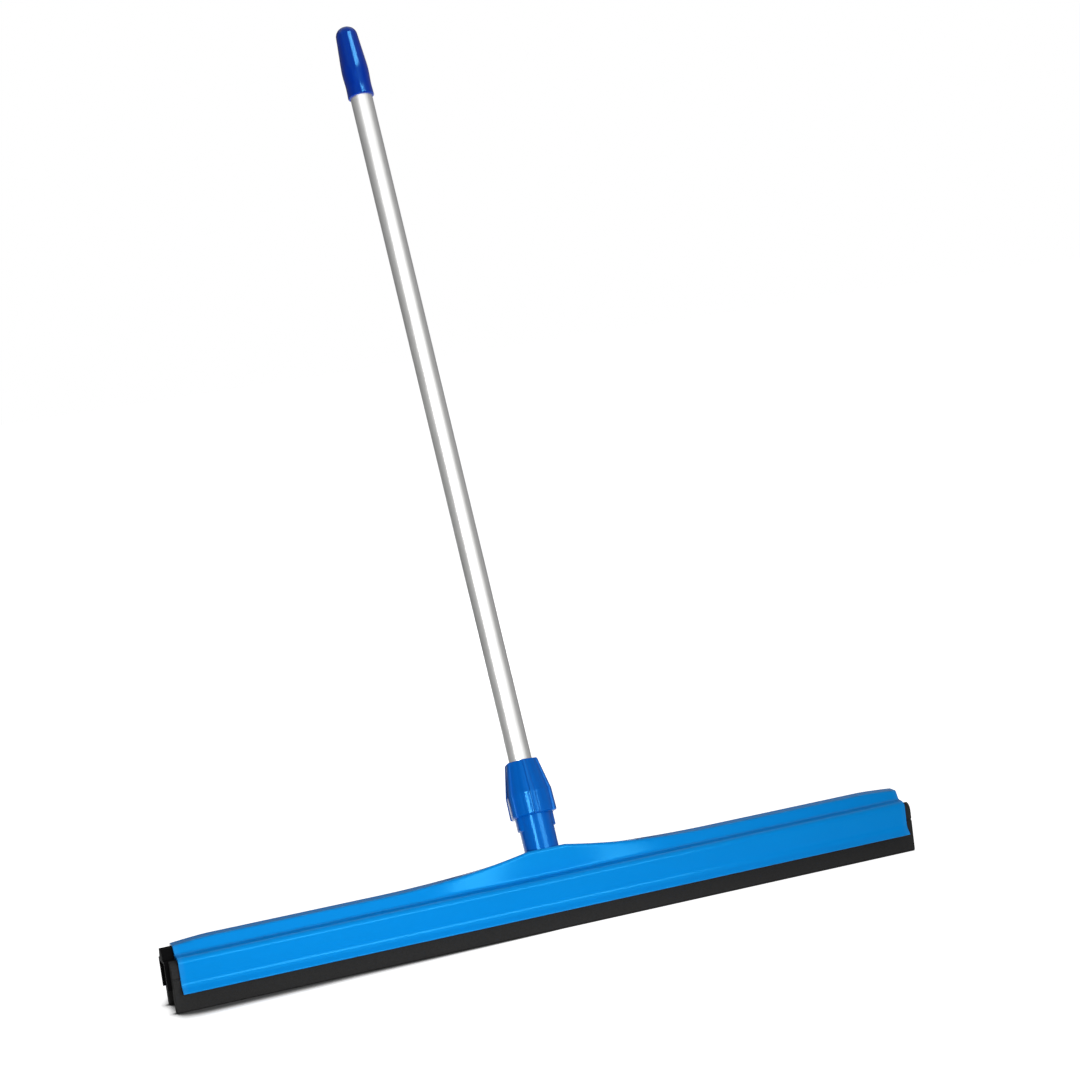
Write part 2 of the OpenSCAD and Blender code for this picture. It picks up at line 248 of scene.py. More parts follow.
# %% Soft boxes
def soft_box(name, place, aim, width, height, power, lights=True, shows=True):
    """An area lamp, which may be kept from lighting or from showing as a reflection."""
    lamp = bpy.data.lights.new(name, "AREA")
    lamp.shape = "RECTANGLE"
    lamp.size = width
    lamp.size_y = height
    lamp.energy = power
    box = bpy.data.objects.new(name, lamp)
    box.location = place
    box.rotation_euler = (Vector(aim) - Vector(place)).to_track_quat("-Z", "Y").to_euler()
    box.visible_diffuse = lights
    box.visible_glossy = shows
    bpy.context.scene.collection.objects.link(box)
    print(name, "of", power, "W")


soft_box("front_panel", (0.05, -1.70, 1.65), (0, 0.1, 0.35), 2.0, 1.1, 5.5)
soft_box("key_box", (-0.22, -0.80, 0.20), (-0.20, 0, 0.05), 0.7, 0.30, 4.8, shows=False)
soft_box("grip_box", (0.10, -0.75, 1.25), (0, 0.3, 0.88), 0.3, 0.3, 2.0, shows=False)
soft_box("back_panel", (0.55, 1.80, 1.10), (0, 0, 0.2), 1.6, 0.9, 16, shows=False)
soft_box("edge_strip", (0.13, -1.00, 0.27), (0, 0, 0.05), 0.7, 0.26, 4.5, lights=False)
soft_box("neck_strip", (0.58, -1.50, 0.78), (0, 0, 0.15), 0.9, 0.28, 6.5, lights=False)
soft_box("left_strip", (-1.22, -1.53, 1.05), (0, 0, 0.15), 0.55, 1.0, 30, lights=False)
soft_box("grip_strip", (1.72, -3.30, 5.40), (0, 0.28, 0.85), 3.4, 1.2, 210, lights=False)

# %% [markdown]
# Gloss shows what stands round it. In a white room a tube looks like paper and a dark plastic gets
# pale edges, so photographers put cards beside and behind: a tall grey one for the tube, a low grey
# one for the tube's foot, and a black one close to the floor for the head and the nut. Here a card
# is an open ring. Only glossy rays see it, so it takes no light away and stays out of the picture.

# %% Cards
CARD_STEPS = 33
SHADE_START = 0.2


def card_ring(name, radius, top, half_open, side, back):
    """A ring, open to the front, that glows grey, from side at its middle to back behind."""
    gap = math.radians(half_open)
    angles = np.linspace(gap, 2 * math.pi - gap, CARD_STEPS)
    rim = [(radius * math.sin(a), -radius * math.cos(a)) for a in angles]
    points = [(x, y, z) for x, y in rim for z in (0, top)]
    faces = [(k, k + 1, k + 3, k + 2) for k in range(0, len(points) - 2, 2)]
    card, grey, shader = stage_object(name, points, faces)
    shader.inputs["Base Color"].default_value = (0, 0, 0, 1)
    place = grey.node("ShaderNodeTexCoord", output="Object")
    depth = grey.node("ShaderNodeSeparateXYZ", None, {"Vector": place}, "Y")
    shade = grey.ranged(depth, SHADE_START * radius, radius, side, back)
    grey.join(shade, shader.inputs["Emission Color"])
    for rays in ("camera", "diffuse", "transmission", "shadow", "volume_scatter"):
        setattr(card, "visible_" + rays, False)
    print(name, "opens", 2 * half_open, "degrees to the front")


card_ring("grey_card", 2.6, 2.6, 56, 0.42, 0.20)
card_ring("low_card", 1.0, 0.22, 56, 0.36, 0.20)
card_ring("black_card", 0.55, 0.065, 80, 0.05, 0.03)

# %% [markdown]
# ## Materials
# All the colours are moulded in, so a plastic here is one dye with faint cloudiness, a skin like
# the peel of an orange from the mould, and edges that are a touch paler where they rub. `wear` is
# a value on each point of the mesh, 1 on a sharp outer edge and 0 on a flat, which every piece
# gets when it is made. The patterns read object coordinates, in metres, so a scale of 650 gives
# grains of about a millimetre and a half.


# %% A finish and its common patterns
class Finish(Graph):
    """A material whose shader takes plain values, and wires where a value changes."""

    def __init__(self, name, **plain):
        self.material = bpy.data.materials.new(name)
        self.material.use_nodes = True
        super().__init__(self.material.node_tree)
        self.shader = self.tree.nodes["Principled BSDF"]
        self.place = self.node("ShaderNodeTexCoord", output="Object")
        for socket, value in plain.items():
            self.shader.inputs[socket.replace("_", " ")].default_value = value
        print("finish", name)

    def feed(self, socket, wire):
        self.join(wire, self.shader.inputs[socket])

    def noise(self, scale, detail, stretch=(1, 1, 1), turn=0.0):
        moved = self.node("ShaderNodeMapping", None,
                          {"Vector": self.place, "Rotation": (turn, 0, 0), "Scale": stretch})
        return self.node("ShaderNodeTexNoise", None,
                         {"Vector": moved, "Scale": scale, "Detail": detail})

    def mixed(self, factor, first, second):
        return self.node("ShaderNodeMix", {"data_type": "RGBA"},
                         {0: factor, 6: first, 7: second}, output=2)

    def bump(self, height, strength, distance):
        return self.node("ShaderNodeBump", None,
                         {"Height": height, "Strength": strength, "Distance": distance})

    def wear(self):
        return self.node("ShaderNodeAttribute", {"attribute_name": "wear"}, output="Fac")


WHITE = (1, 1, 1)


def tint(colour, share):
    return (*[min(c * share, 1) for c in colour], 1)


# %% Moulded plastics
HEAD_BLUE = (0.0, 0.258, 0.755)
NECK_BLUE = (0.0, 0.115, 0.54)
GRIP_BLUE = (0.0, 0.037, 0.56)
CORE_BLACK = (0.004, 0.004, 0.0042)
AZURE_GLOSS = (0.10, 0.75, 1.0, 1)
ROYAL_GLOSS = (0.11, 0.60, 1.0, 1)
PLAIN_GLOSS = tint(WHITE, 1)
ALONG_HEAD, UP_NECK = (0.25, 1, 1), (1, 1, 0.4)
PLASTIC_IOR = 1.49
CLOUD_SCALE, GLOSS_SCALE, RUB_SCALE, PEEL_SCALE = 14, 230, 90, 650
CLOUD_LOW, CLOUD_HIGH = 0.92, 1.08
GLOSS_SPREAD = 0.10
RUB_PALE, RUB_ROUGH = 0.30, 0.08
PALE_KEEP, PALE_GREY = 0.86, 0.12
PEEL_STRENGTH, PEEL_DEPTH = 0.08, 0.0004


def moulded(name, colour, roughness, specular, gloss, flow):
    """A dyed plastic. flow is how the faint streaks of the filling are stretched."""
    made = Finish(name, IOR=PLASTIC_IOR, Specular_IOR_Level=specular, Specular_Tint=gloss)
    cloud = made.noise(CLOUD_SCALE, 3.0, flow)
    peel = made.noise(PEEL_SCALE, 2.0)
    rubbed = made.wear() * made.noise(RUB_SCALE, 4.0)
    uneven = made.noise(GLOSS_SCALE, 3.0) * GLOSS_SPREAD
    dyed = made.mixed(cloud, tint(colour, CLOUD_LOW), tint(colour, CLOUD_HIGH))
    pale = tuple(PALE_KEEP * c + PALE_GREY * max(colour) for c in colour)
    made.feed("Base Color", made.mixed(rubbed * RUB_PALE, dyed, (*pale, 1)))
    made.feed("Roughness", roughness - GLOSS_SPREAD / 2 + uneven + rubbed * RUB_ROUGH)
    made.feed("Normal", made.bump(peel, PEEL_STRENGTH, PEEL_DEPTH))
    return made.material


head_plastic = moulded("azure_plastic", HEAD_BLUE, 0.18, 0.35, AZURE_GLOSS, ALONG_HEAD)
neck_plastic = moulded("royal_plastic", NECK_BLUE, 0.15, 0.50, ROYAL_GLOSS, UP_NECK)
grip_plastic = moulded("grip_plastic", GRIP_BLUE, 0.15, 0.50, ROYAL_GLOSS, UP_NECK)
core_plastic = moulded("black_plastic", CORE_BLACK, 0.52, 0.03, PLAIN_GLOSS, ALONG_HEAD)

# %% [markdown]
# Foam rubber is a mass of tiny closed cells. Where it is cut, the open cells make a fine, matt,
# slightly speckled face. A Voronoi pattern gives the cells, and slow noise the uneven grey.

# %% Foam rubber
FOAM_DARK, FOAM_LIGHT, FOAM_CELL = (tint(WHITE, level) for level in (0.017, 0.025, 0.042))
CELL_SCALE, CELL_FROM, CELL_TO, CELL_SHARE = 1300, 0.10, 0.55, 0.5
CELL_STRENGTH, CELL_DEPTH = 0.35, 0.0004
PATCH_SCALE, PATCH_FLOW = 40, (0.4, 1, 1)

foam = Finish("foam_rubber", IOR=1.5, Specular_IOR_Level=0.10)
cells = foam.node("ShaderNodeTexVoronoi", None, {"Vector": foam.place, "Scale": CELL_SCALE})
open_cells = foam.ranged(cells, CELL_FROM, CELL_TO, 0.0, 1.0)
patches = foam.noise(PATCH_SCALE, 3.0, PATCH_FLOW)
cut_face = foam.mixed(patches, FOAM_DARK, FOAM_LIGHT)
foam.feed("Base Color", foam.mixed(open_cells * CELL_SHARE, cut_face, FOAM_CELL))
foam.feed("Roughness", 0.78 + patches * 0.16)
foam.feed("Normal", foam.bump(cells, CELL_STRENGTH, CELL_DEPTH))
foam_rubber = foam.material

# %% [markdown]
# The tube is drawn through a die, which leaves fine lines along it. Noise that is stretched over a
# hundred times along the tube gives them, once the Mapping node has turned it to the tube's lean.

# %% Aluminium and steel
turn_joint = next(j for j in frame["joints"] if j["name"] == "nut_turn")
AXIS_FOOT = np.array(turn_joint["pos_m"]) / MM
AXIS = np.array(turn_joint["axis"]) / np.linalg.norm(turn_joint["axis"])
LEAN = math.atan2(AXIS[1], AXIS[2])
LINE_SCALE, LINE_FLOW = 900, (1, 1, 0.008)
LINE_STRENGTH, LINE_DEPTH = 0.06, 0.0002
STAIN_SCALE, BLOOM_SCALE = 22, 400
ALUMINIUM_DULL, ALUMINIUM_BRIGHT = (0.72, 0.72, 0.71, 1), (0.84, 0.84, 0.83, 1)
ZINC_DULL, ZINC_BRIGHT = (0.50, 0.51, 0.53, 1), (0.66, 0.66, 0.66, 1)

drawn = Finish("drawn_aluminium", Metallic=1.0)
lines = drawn.noise(LINE_SCALE, 3.0, LINE_FLOW, LEAN)
stain = drawn.noise(STAIN_SCALE, 3.0)
drawn.feed("Base Color", drawn.mixed(stain, ALUMINIUM_DULL, ALUMINIUM_BRIGHT))
drawn.feed("Roughness", 0.24 + lines * 0.12 + stain * 0.05)
drawn.feed("Normal", drawn.bump(lines, LINE_STRENGTH, LINE_DEPTH))
drawn_aluminium = drawn.material

plated = Finish("zinc_plated_steel", Metallic=1.0)
bloom = plated.noise(BLOOM_SCALE, 3.0)
plated.feed("Base Color", plated.mixed(bloom, ZINC_DULL, ZINC_BRIGHT))
plated.feed("Roughness", 0.25 + bloom * 0.2)
zinc_steel = plated.material
print("the handle leans back by", round(math.degrees(LEAN), 1), "degrees")

# %% [markdown]
# ## From points to pieces
# Most pieces are skins through rings of points: a loft along the head, or a profile turned round
# the neck's axis. Both come down to lists of points in millimetres and faces between them, and one
# helper turns those into a piece that rides on its body and stands for its CAD node.

# %% Making a piece
TINY = 1e-9
WELD = 1e-7
SMOOTH_BELOW = math.radians(38)
WEAR_GAIN, WEAR_FLAT = 3, 0.15


def unit_rows(rows):
    return rows / np.maximum(np.linalg.norm(rows, axis=1, keepdims=True), TINY)


def edge_wear(mesh):
    """Writes how far each point stands out from its neighbours as the attribute wear."""
    place = np.array([v.co for v in mesh.vertices])
    normal = np.array([v.normal for v in mesh.vertices])
    ends = np.empty(len(mesh.edges) * 2, int)
    mesh.edges.foreach_get("vertices", ends)
    a, b = ends.reshape(-1, 2).T
    step = unit_rows(place[a] - place[b])
    out = np.zeros(len(place))
    np.maximum.at(out, a, (normal[a] * step).sum(1))
    np.maximum.at(out, b, -(normal[b] * step).sum(1))
    worn = np.clip(out * WEAR_GAIN - WEAR_FLAT, 0, 1).astype(np.float32)
    mesh.attributes.new("wear", "FLOAT", "POINT").data.foreach_set("value", worn)


def finish_piece(obj, body, slot, *nodes):
    """Smooths a piece, measures its worn edges, puts it on its body and hides its CAD nodes. The
    slot is not used.
    """
    work = bmesh.new()
    work.from_mesh(obj.data)
    bmesh.ops.remove_doubles(work, verts=work.verts, dist=WELD)
    bmesh.ops.recalc_face_normals(work, faces=work.faces)
    work.to_mesh(obj.data)
    work.free()
    obj.data.polygons.foreach_set("use_smooth", [True] * len(obj.data.polygons))
    obj.data.set_sharp_from_angle(angle=SMOOTH_BELOW)
    edge_wear(obj.data)
    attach(obj, body)
    if nodes:
        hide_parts(*nodes)
    triangles = sum(len(p.vertices) - 2 for p in obj.data.polygons)
    print(obj.name, "has", triangles, "triangles and rides on", body)


def new_object(name, points, faces, material):
    mesh = bpy.data.meshes.new(name)
    mesh.from_pydata((np.asarray(points) * MM).tolist(), [], faces)
    mesh.materials.append(material)
    obj = bpy.data.objects.new(name, mesh)
    bpy.context.scene.collection.objects.link(obj)
    return obj


# %% [markdown]
# A moulder rounds every corner of a section. `rounded` takes corners with a radius each, as on a
# drawing, and gives back the outline with true arcs. Two extra points close to the ends of each
# straight keep the flats flat under smooth shading.


# %% Rounded outlines
def unit(v):
    return v / np.linalg.norm(v)


def arc(before, corner, after, radius, steps):
    to_a, to_b = unit(before - corner), unit(after - corner)
    half_angle = math.acos(np.clip(to_a @ to_b, -1, 1)) / 2
    centre = corner + unit(to_a + to_b) * radius / math.sin(half_angle)
    first = corner + to_a * radius / math.tan(half_angle) - centre
    last = corner + to_b * radius / math.tan(half_angle) - centre
    start = math.atan2(first[1], first[0])
    turn = math.atan2(first[0] * last[1] - first[1] * last[0], first @ last)
    angles = start + turn * np.linspace(0, 1, steps + 1)
    return centre + radius * np.stack([np.cos(angles), np.sin(angles)], 1)


SUPPORT = 0.35


def rounded(corners, steps, closed=False):
    """Outline through corners (a, b, radius). An open outline keeps its two end points."""
    flat = np.array([c[:2] for c in corners], float)
    count = len(corners)
    pieces = []
    for i, corner in enumerate(corners):
        inner = closed or 0 < i < count - 1
        if inner and corner[2] > 0:
            pieces.append(arc(flat[i - 1], flat[i], flat[(i + 1) % count], corner[2], steps))
        else:
            pieces.append(flat[i:i + 1])
    path = []
    for i, piece in enumerate(pieces):
        path.extend(piece)
        if i == count - 1 and not closed:
            break
        after = pieces[(i + 1) % count][0]
        run = np.linalg.norm(after - piece[-1])
        if run > 4 * SUPPORT:
            along = (after - piece[-1]) / run
            path.extend([piece[-1] + along * SUPPORT, after - along * SUPPORT])
    return np.array(path)


# %% [markdown]
# A loft joins outlines that all have the same number of points, so `resampled` deals a fixed
# number of points along a path and sets them closer where it bends. `skin` makes the faces between
# the rings and closes both ends, and `lofted` adds a small round to each end.

# %% Lofts along the head
SAME_POINT = 1e-6
BEND_WEIGHT = 3.0
END_ROUND = 0.35
END_RINGS = 3


def resampled(path, count):
    """The same path with count points, closer together where it bends."""
    apart = np.linalg.norm(np.diff(path, axis=0), axis=1) > SAME_POINT
    path = path[np.concatenate([[True], apart])]
    step = np.diff(path, axis=0)
    turn = np.abs(np.diff(np.unwrap(np.arctan2(step[:, 1], step[:, 0]))))
    weight = np.linalg.norm(step, axis=1)
    weight[:-1] += BEND_WEIGHT * turn / 2
    weight[1:] += BEND_WEIGHT * turn / 2
    along = np.concatenate([[0], np.cumsum(weight)])
    wanted = np.linspace(0, along[-1], count)
    return np.stack([np.interp(wanted, along, path[:, k]) for k in (0, 1)], 1)


def inset(ring, depth):
    """A closed outline moved inwards by depth."""
    before, after = np.roll(ring, 1, axis=0), np.roll(ring, -1, axis=0)
    along = unit_rows(unit_rows(ring - before) + unit_rows(after - ring))
    area = (ring[:, 0] * after[:, 1] - after[:, 0] * ring[:, 1]).sum()
    return ring + np.sign(area) * depth * np.stack([-along[:, 1], along[:, 0]], 1)


def skin(rings):
    """Points and faces of a skin through rings of equal size, closed at both ends."""
    size = len(rings[0])
    near = np.arange(size)
    far = np.roll(near, -1)
    faces = []
    for k in range(len(rings) - 1):
        a, b = k * size, (k + 1) * size
        faces += np.stack([a + near, a + far, b + far, b + near], 1).tolist()
    last = (len(rings) - 1) * size
    return np.concatenate(rings), [*faces, near[::-1].tolist(), (last + near).tolist()]


def lofted(section, stations):
    """Skin through section(x), an outline in Y and Z, with small rounds on its two end faces."""
    turns = np.linspace(0, math.pi / 2, END_RINGS + 1)[1:]

    def end_rings(x, sign):
        return [(x + sign * END_ROUND * (math.sin(t) - 1),
                 inset(section(x), END_ROUND * (1 - math.cos(t)))) for t in turns]

    rings = end_rings(stations[0], -1)[::-1]
    rings += [(x, section(x)) for x in stations[1:-1]]
    rings += end_rings(stations[-1], 1)
    return skin([np.insert(ring, 0, x, axis=1) for x, ring in rings])


# %% [markdown]
# ## The head
# The head is one moulding, open below and at both ends. Its front has a flared lip, an upright
# skirt, a round shoulder, a shelf with a groove, and a ridge. Towards the middle the ridge swells
# into a crown, from which the neck leans back. A sculptor would push and pull a box; here the
# section is a function of the place along the head, and the head is a loft through about 180
# sections. The crown is then a smooth change of a few sizes, and the skirt stays dead straight.

# %% Sizes of the head
head_low, head_high = (np.array(c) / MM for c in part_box("head_shell"))
blade_low, blade_high = (np.array(c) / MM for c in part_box("front_blade"))

WALL = 2.5
SLIDE_GAP = 0.3
BLADE_H = blade_high[2]
BLADE_Y = -blade_low[1]
BLADE_T = blade_high[1] - blade_low[1]
BLADE_HALF = blade_high[0]
HEAD_HALF = head_high[0]
SKIRT_IN = BLADE_Y + SLIDE_GAP
SKIRT_Y = SKIRT_IN + WALL
FLARE_OUT, FLARE_H, FLARE_ROUND = 6.6, 7, 9
LIP_Y = SKIRT_Y + FLARE_OUT
LIP_Z = head_low[2]
LIP_ROUND = 0.9
CREASE_Z = LIP_Z + FLARE_H
BEAD_D, BEAD_RISE, BEAD_ROUND = 1.5, 6, 0.4
BEAD_Z = CREASE_Z + BEAD_RISE
SHELF_IN = BLADE_H + SLIDE_GAP
SHELF_Z = SHELF_IN + WALL
SHELF_RISE = 1.2
SHOULDER_ROUND, SHOULDER_IN_ROUND = 5.5, 3.3
GROOVE_Z = SHELF_Z + SHELF_RISE
GROOVE_BLEND = 2.16
SLOT_FOOT_Y, SLOT_TOP_Y, SLOT_H = 7.8, 4.5, 10.1
SLOT_FOOT_ROUND, SLOT_TOP_ROUND = 0.6, 1.3
SLOT_Z = BLADE_H + SLOT_H
RIDGE_FLARE, RIDGE_ROOF, RIDGE_ROUND = 1.4, 4.2, 2.6
RIDGE_FOOT_Y = SLOT_FOOT_Y + WALL + RIDGE_FLARE
RIDGE_TOP_Y = SLOT_TOP_Y + WALL
RIDGE_Z = SLOT_Z + RIDGE_ROOF
END_DROP, END_DROP_LEN, END_DROP_BEND = 2.4, 34, 1.25
CROWN_HALF = 170
APRON_IN, APRON_DROP = 0.5, 7
print("head is", round(2 * HEAD_HALF), "mm long, its shoulder at", round(SHELF_Z, 1), "mm")


# %% Places along the neck's axis
def along_axis(node):
    """Lowest and highest station of a CAD node on the neck's axis, and its largest radius."""
    mesh = frame["nodes"][node].data
    points = np.array([v.co for v in mesh.vertices]) / MM - AXIS_FOOT
    station = points @ AXIS
    radius = np.linalg.norm(points - station[:, None] * AXIS, axis=1)
    return station.min(), station.max(), radius.max()


NECK_FROM, NECK_TO, THREAD_R = along_axis("neck_socket")
NECK_R = 16.9
NECK_DEPTH = 7.2
CROWN_S = NECK_FROM + NECK_DEPTH
CROWN_MARGIN = 1.7
sin_lean, cos_lean = math.sin(LEAN), math.cos(LEAN)
CROWN_FRONT = NECK_R * cos_lean - CROWN_S * sin_lean + CROWN_MARGIN
CROWN_BACK = NECK_R * cos_lean + CROWN_S * sin_lean + CROWN_MARGIN
CROWN_FLAT = NECK_R + CROWN_MARGIN


def crown_top(y):
    return AXIS_FOOT[2] + (CROWN_S - y * sin_lean) / cos_lean


print("neck leaves the crown at station", round(CROWN_S, 1), "mm")


# %% The head's section
def mix(a, b, share):
    return a + (b - a) * share


def crown_share(x):
    t = (abs(x) - CROWN_FLAT) / (CROWN_HALF - CROWN_FLAT)
    return (1 - min(max(t, 0), 1)) ** 2


shelf_slope = (GROOVE_Z - SHELF_Z) / (SKIRT_Y - RIDGE_FOOT_Y)
LOW_SIDE = rounded([
    (0, GROOVE_Z + shelf_slope * RIDGE_FOOT_Y, 0),
    (SKIRT_Y, SHELF_Z, SHOULDER_ROUND),
    (SKIRT_Y, CREASE_Z, FLARE_ROUND),
    (LIP_Y, LIP_Z, LIP_ROUND),
    (LIP_Y - WALL, LIP_Z, 0),
], steps=24)
INNER_SIDE = rounded([
    (LIP_Y - WALL, LIP_Z, 0),
    (SKIRT_IN, CREASE_Z, FLARE_ROUND),
    (SKIRT_IN, BEAD_Z - BEAD_D, BEAD_ROUND),
    (SKIRT_IN - BEAD_D, BEAD_Z, BEAD_ROUND),
    (SKIRT_IN, BEAD_Z + BEAD_D, BEAD_ROUND),
    (SKIRT_IN, SHELF_IN, SHOULDER_IN_ROUND),
    (SLOT_FOOT_Y, SHELF_IN, SLOT_FOOT_ROUND),
    (SLOT_TOP_Y, SLOT_Z, SLOT_TOP_ROUND),
    (0, SLOT_Z, 0),
], steps=5)[1:]

CLEAR_OF_START = 0.05
OUTER_COUNT, BLEND_COUNT, CAP_STEPS = 96, 13, 16


def meeting(start, towards):
    """Index and place where the line from start through towards first meets the low side."""
    a, b = LOW_SIDE[:-1], LOW_SIDE[1:]
    way = towards - start
    edge = b - a
    cross = way[0] * edge[:, 1] - way[1] * edge[:, 0]
    cross[np.abs(cross) < TINY] = TINY
    gap = a - start
    t = (gap[:, 0] * edge[:, 1] - gap[:, 1] * edge[:, 0]) / cross
    u = (gap[:, 0] * way[1] - gap[:, 1] * way[0]) / cross
    good = (t > CLEAR_OF_START) & (u >= 0) & (u <= 1)
    index = np.where(good, t, np.inf).argmin()
    return index, start + t[index] * way


def outer_side(middle, top, foot):
    """One half of the outside, from the middle of the top down to the lip's inner edge."""
    index, joint = meeting(top, foot)
    low = np.vstack([joint, LOW_SIDE[index + 1:]])
    run = np.concatenate([[0], np.cumsum(np.linalg.norm(np.diff(low, axis=0), axis=1))])
    leave = np.array([np.interp(GROOVE_BLEND, run, low[:, k]) for k in (0, 1)])
    enter = joint + unit(top - joint) * min(GROOVE_BLEND, np.linalg.norm(top - joint) / 2)
    t = np.linspace(0, 1, BLEND_COUNT)[:, None]
    curve = (1 - t) ** 2 * enter + 2 * t * (1 - t) * joint + t ** 2 * leave
    cap = arc(middle, top, enter, RIDGE_ROUND, CAP_STEPS)
    return resampled(np.vstack([middle, cap, curve, low[run > GROOVE_BLEND]]), OUTER_COUNT)


def head_section(x):
    share = crown_share(x)
    fall = max(abs(x) - (HEAD_HALF - END_DROP_LEN), 0) / END_DROP_LEN
    drop = END_DROP * fall ** END_DROP_BEND
    front = np.array([mix(RIDGE_TOP_Y, CROWN_FRONT, share),
                      mix(RIDGE_Z, crown_top(-CROWN_FRONT), share) - drop])
    back = np.array([mix(RIDGE_TOP_Y, CROWN_BACK, share),
                     mix(RIDGE_Z, crown_top(CROWN_BACK), share) - drop])
    groove = np.array([RIDGE_FOOT_Y, GROOVE_Z])
    apron = np.array([SKIRT_Y - APRON_IN, SHELF_Z - APRON_DROP])
    flip = np.array([-1, 1])
    middle = (front * flip + back) / 2
    front_half = outer_side(middle * flip, front, groove) * flip
    back_half = outer_side(middle, back, mix(groove, apron, share))
    inside = np.vstack([INNER_SIDE * flip, INNER_SIDE[-2::-1]])
    return np.vstack([front_half, inside, back_half[:0:-1]])


# %% Loft the head
FLAT_COUNT, FLANK_COUNT, SIDE_COUNT = 8, 50, 34

right_half = np.concatenate([
    np.linspace(0, CROWN_FLAT, FLAT_COUNT)[:-1],
    np.linspace(CROWN_FLAT, CROWN_HALF, FLANK_COUNT),
    np.linspace(CROWN_HALF, HEAD_HALF, SIDE_COUNT)[1:],
])
head_stations = np.concatenate([-right_half[:0:-1], right_half])
head = new_object("head_moulding", *lofted(head_section, head_stations), head_plastic)
finish_piece(head, "head", "head_blue", "head_shell")
print("sections:", len(head_stations), "with", len(head_section(0)), "points each")

# %% [markdown]
# ## The blade cassette
# Two strips of foam rubber hang on a black core, and the three slide into the head from one end.
# Foam that is cut with a knife is never quite straight, so the strips waver by a tenth of a
# millimetre towards their lower edges. Slow sine waves do that the same way on every run.

# %% Foam strips
CORE_Y = BLADE_Y - BLADE_T
BLADE_ROUND = 7.5
STRIP_EDGE = 1.5
WAVES = ((0.06, 41, 1), (0.05, 97, 2))
STRIP_COUNT = 110

STRIP = rounded([
    (CORE_Y, 0, STRIP_EDGE),
    (BLADE_Y, 0, STRIP_EDGE),
    (BLADE_Y, BEAD_Z - BEAD_D, BEAD_ROUND),
    (BLADE_Y - BEAD_D, BEAD_Z, BEAD_ROUND),
    (BLADE_Y, BEAD_Z + BEAD_D, BEAD_ROUND),
    (BLADE_Y, BLADE_H, BLADE_ROUND),
    (CORE_Y, BLADE_H, STRIP_EDGE),
], steps=6, closed=True)


def strip_section(sign, phase):
    """The section of a strip as a function of x, for the front (-1) or the back (1)."""
    def section(x):
        ring = STRIP.copy()
        free = np.clip(1 - ring[:, 1] / LIP_Z, 0, 1)
        waver = sum(size * math.sin(x / run + share * phase) for size, run, share in WAVES)
        ring[:, 0] = sign * (ring[:, 0] + waver * free)
        return ring
    return section


blade_stations = np.linspace(-BLADE_HALF, BLADE_HALF, STRIP_COUNT)
for name, node, sign, phase in (("front_foam", "front_blade", -1, 0.4),
                                ("back_foam", "back_blade", 1, 2.1)):
    strip = new_object(name, *lofted(strip_section(sign, phase), blade_stations), foam_rubber)
    finish_piece(strip, "cassette", "foam_rubber", node)

# %% Core between the strips
core_low, core_high = (np.array(c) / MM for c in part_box("blade_carrier"))
CARRIER_WALL = 2.5
CORE_COUNT = 60

core_half = [
    (CORE_Y - CARRIER_WALL, BLADE_H - CARRIER_WALL, 0.8),
    (CORE_Y - CARRIER_WALL, core_low[2], 0.5),
    (CORE_Y, core_low[2], 0.5),
    (CORE_Y, BLADE_H, 0.4),
    (SLOT_FOOT_Y - SLIDE_GAP, BLADE_H, 0.5),
    (SLOT_TOP_Y - SLIDE_GAP, core_high[2], 1.0),
]
CORE = rounded(core_half + [(-y, z, r) for y, z, r in core_half[::-1]], steps=6, closed=True)
core_stations = np.linspace(core_low[0], core_high[0], CORE_COUNT)
core = new_object("core_moulding", *lofted(lambda x: CORE, core_stations), core_plastic)
finish_piece(core, "cassette", "black_plastic", "blade_carrier")

# %% [markdown]
# ## Turned pieces
# Neck, nut, tube and grip are all round about one leaning axis. A lathe would cut them from a
# profile, and so does `turned`: every point of the profile becomes a ring, and a point on the axis
# becomes a single pole. A nut's flank isn't quite round, so a shape function may change the radius.

# %% Turning on the neck's axis
ACROSS = np.array([1.0, 0, 0])
BEHIND = np.cross(AXIS, ACROSS)


def turned(profile, segments=160, shape=None):
    """Skin of a closed profile of (radius, station) points turned round the neck's axis."""
    angle = np.linspace(0, 2 * math.pi, segments, endpoint=False)
    spoke = np.cos(angle)[:, None] * ACROSS + np.sin(angle)[:, None] * BEHIND
    points, rings = [], []
    for radius, station in profile:
        at = AXIS_FOOT + station * AXIS
        if radius < SAME_POINT:
            rings.append([len(points)])
            points.append(at)
            continue
        rings.append(list(range(len(points), len(points) + segments)))
        reach = shape(angle, radius, station) if shape else np.full(segments, radius)
        points.extend(at + reach[:, None] * spoke)
    faces = []
    for one, two in zip(rings, rings[1:] + rings[:1]):
        if len(one) == 1 and len(two) == 1:
            continue
        for i in range(segments):
            j = (i + 1) % segments
            if len(one) == 1:
                faces.append((one[0], two[j], two[i]))
            elif len(two) == 1:
                faces.append((one[i], one[j], two[0]))
            else:
                faces.append((one[i], one[j], two[j], two[i]))
    return points, faces


# %% [markdown]
# ## Neck
# The neck is a darker blue than the head. It carries a collar, the thread for the nut, and a cone
# at its mouth for the clamp sleeve. The collar stands out at the two sides only, since a mould that
# opens to the front and the back leaves those faces plain. The core is turned; the thread itself
# follows a spiral, which Geometry Nodes sweep with a small diamond as the cutter. It hides under
# the tight nut and shows once the nut is unscrewed.

